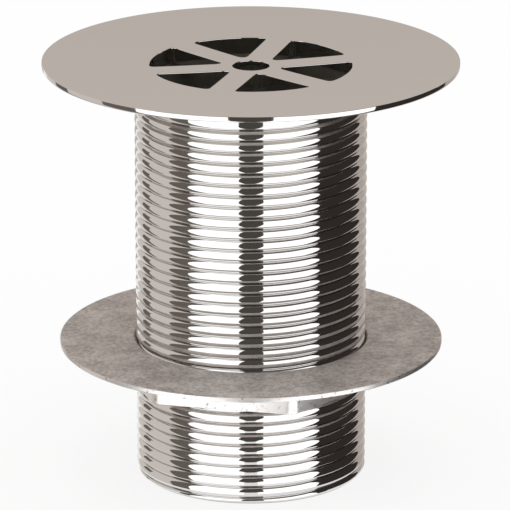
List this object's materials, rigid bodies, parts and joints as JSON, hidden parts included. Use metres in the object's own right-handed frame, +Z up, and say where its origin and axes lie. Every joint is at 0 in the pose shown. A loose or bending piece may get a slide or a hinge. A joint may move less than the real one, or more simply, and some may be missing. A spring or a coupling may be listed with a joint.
{
  "type": "slotted sink waste",
  "caption": "Sink waste with a dished round flange, a slotted grating, a long threaded tail and a flanged hexagon back nut that clamps it to the sink.",
  "frame": {"origin": "centre of the tail's lower end, on which the waste stands", "axes": "+Z up the tail's axis towards the flange, -Y towards the front as pictured"},
  "size_m": [0.0856, 0.0856, 0.0883],
  "materials": {
    "chrome_plate": "polished",
    "cast_metal": "satin"
  },
  "bodies": {
    "waste": {"waste_body": "chrome_plate"},
    "nut": {"back_nut": "cast_metal"}
  },
  "joints": [
    {"name": "back_nut_travel", "type": "slide", "parent": "waste", "child": "nut", "axis": [0, 0, 1], "range_m": [-0.01847, 0.0508]}
  ]
}
